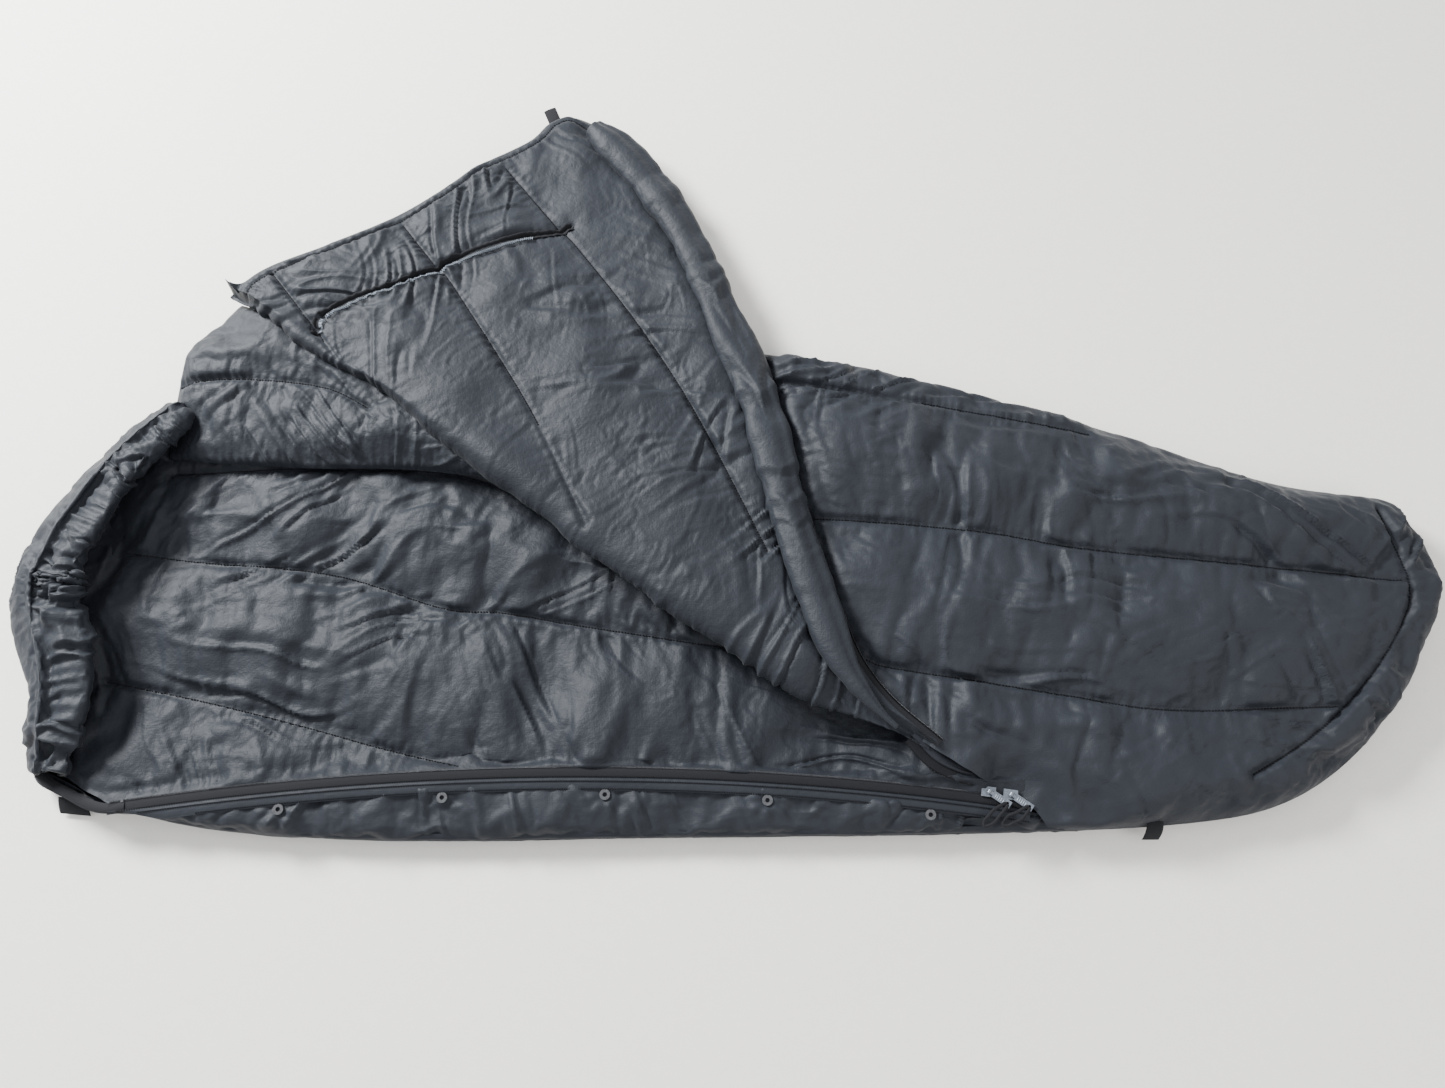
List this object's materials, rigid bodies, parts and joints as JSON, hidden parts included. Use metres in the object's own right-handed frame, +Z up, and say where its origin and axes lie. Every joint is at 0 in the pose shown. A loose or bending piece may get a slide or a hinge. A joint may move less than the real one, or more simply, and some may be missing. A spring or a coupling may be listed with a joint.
{
  "type": "mummy sleeping bag",
  "caption": "Hooded mummy sleeping bag lying on its back, side zip open and the padded front flap folded back over the far side.",
  "frame": {"origin": "on the floor under the bag's middle", "axes": "+X from the hood to the foot, +Y from the zip side to the far side, +Z up"},
  "size_m": [2.1227, 1.2454, 0.124],
  "materials": {
    "shell": "soft sheen",
    "lining": "soft sheen",
    "filling": "matte",
    "webbing": "matte",
    "thread": "matte",
    "cord": "matte",
    "zip_coil": "matte",
    "snap_metal": "satin black",
    "slider_metal": "satin grey"
  },
  "bodies": {
    "bag": {"base_shell": "shell", "base_fill": "filling", "base_lining": "lining", "bolster_shell": "shell", "bolster_fill": "filling", "side_shell": "shell", "side_fill": "filling", "top_shell": "shell", "top_fill": "filling", "top_lining": "lining", "foot_seam_tape": "shell", "hood_shell": "shell", "hood_fill": "filling", "hood_lining": "lining", "hood_hem": "shell", "hood_drawcord": "cord", "zip_facing_base": "shell", "zip_tape_base": "webbing", "zip_coil_base": "zip_coil", "zip_bottom_stop": "snap_metal", "zip_top_stop": "snap_metal", "snap_sockets": "snap_metal", "foot_loop": "webbing", "hood_tab": "webbing"},
    "flap": {"flap_shell": "shell", "flap_fill": "filling", "flap_lining": "lining", "draft_tube": "lining", "slit_binding": "webbing", "slit_stitching": "thread", "zip_tape_flap": "webbing", "zip_coil_flap": "zip_coil", "snap_studs": "snap_metal", "flap_corner_tab": "webbing"},
    "slider_upper": {"slider_upper": "slider_metal"},
    "slider_lower": {"slider_lower": "slider_metal"},
    "pull_upper": {"pull_tab_upper": "slider_metal", "pull_strap_upper": "webbing"},
    "pull_lower": {"pull_tab_lower": "slider_metal", "pull_strap_lower": "webbing"}
  },
  "joints": [
    {"name": "flap_fold", "type": "hinge", "parent": "bag", "child": "flap", "pos_m": [0.391, -0.383, 0.079], "axis": [0.8329, -0.5534, 0], "range_deg": [0, 185]},
    {"name": "slider_upper_travel", "type": "hinge", "parent": "bag", "child": "slider_upper", "pos_m": [-0.2, -4.747, 0.049], "axis": [0, 0, 1], "range_deg": [0, 15.6]},
    {"name": "slider_lower_travel", "type": "slide", "parent": "bag", "child": "slider_lower", "axis": [0.9906, -0.1369, 0], "range_m": [-0.006, 0.006]},
    {"name": "pull_upper_swing", "type": "hinge", "parent": "slider_upper", "child": "pull_upper", "pos_m": [0.37242, -0.38137, 0.0564], "axis": [-0.566, -0.8244, 0], "range_deg": [0, 150]},
    {"name": "pull_lower_swing", "type": "hinge", "parent": "slider_lower", "child": "pull_lower", "pos_m": [0.40288, -0.38547, 0.0564], "axis": [-0.5717, -0.8205, 0], "range_deg": [0, 115]}
  ]
}
